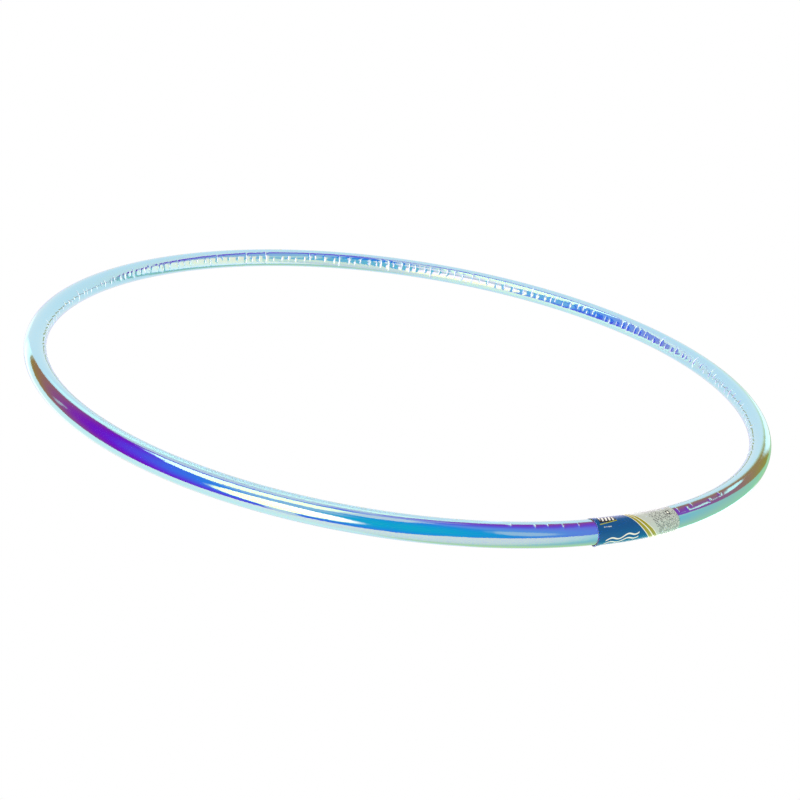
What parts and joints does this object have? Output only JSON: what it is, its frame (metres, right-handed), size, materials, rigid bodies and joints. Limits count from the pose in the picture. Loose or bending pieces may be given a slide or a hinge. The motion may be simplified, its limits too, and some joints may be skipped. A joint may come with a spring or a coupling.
{
  "type": "rhythmic gymnastics hoop",
  "caption": "Ring-shaped gymnastics hoop: a plastic tube with a colour-shifting film sleeve, its ends plugged and stapled together under a wrapped label.",
  "frame": {"origin": "centre of the ring, on the centre line plane of the tube", "axes": "+Z is the ring's own axis, so the hoop lies flat; the joint and its label are 56 degrees from +X towards -Y"},
  "size_m": [0.72, 0.72, 0.021],
  "materials": {
    "white_tube_plastic": "satin opaque plastic",
    "iridescent_film": "glossy colour-shifting film, azure to violet and olive with the angle",
    "plug_plastic": "moulded plastic",
    "staple_steel": "plain steel wire",
    "label_print": "printed and laminated label stock"
  },
  "bodies": {
    "root": {"core_tube": "white_tube_plastic", "film_sleeve": "iridescent_film", "joint_plug": "plug_plastic", "staple_left": "staple_steel", "staple_right": "staple_steel", "label_wrap": "label_print"}
  },
  "joints": []
}
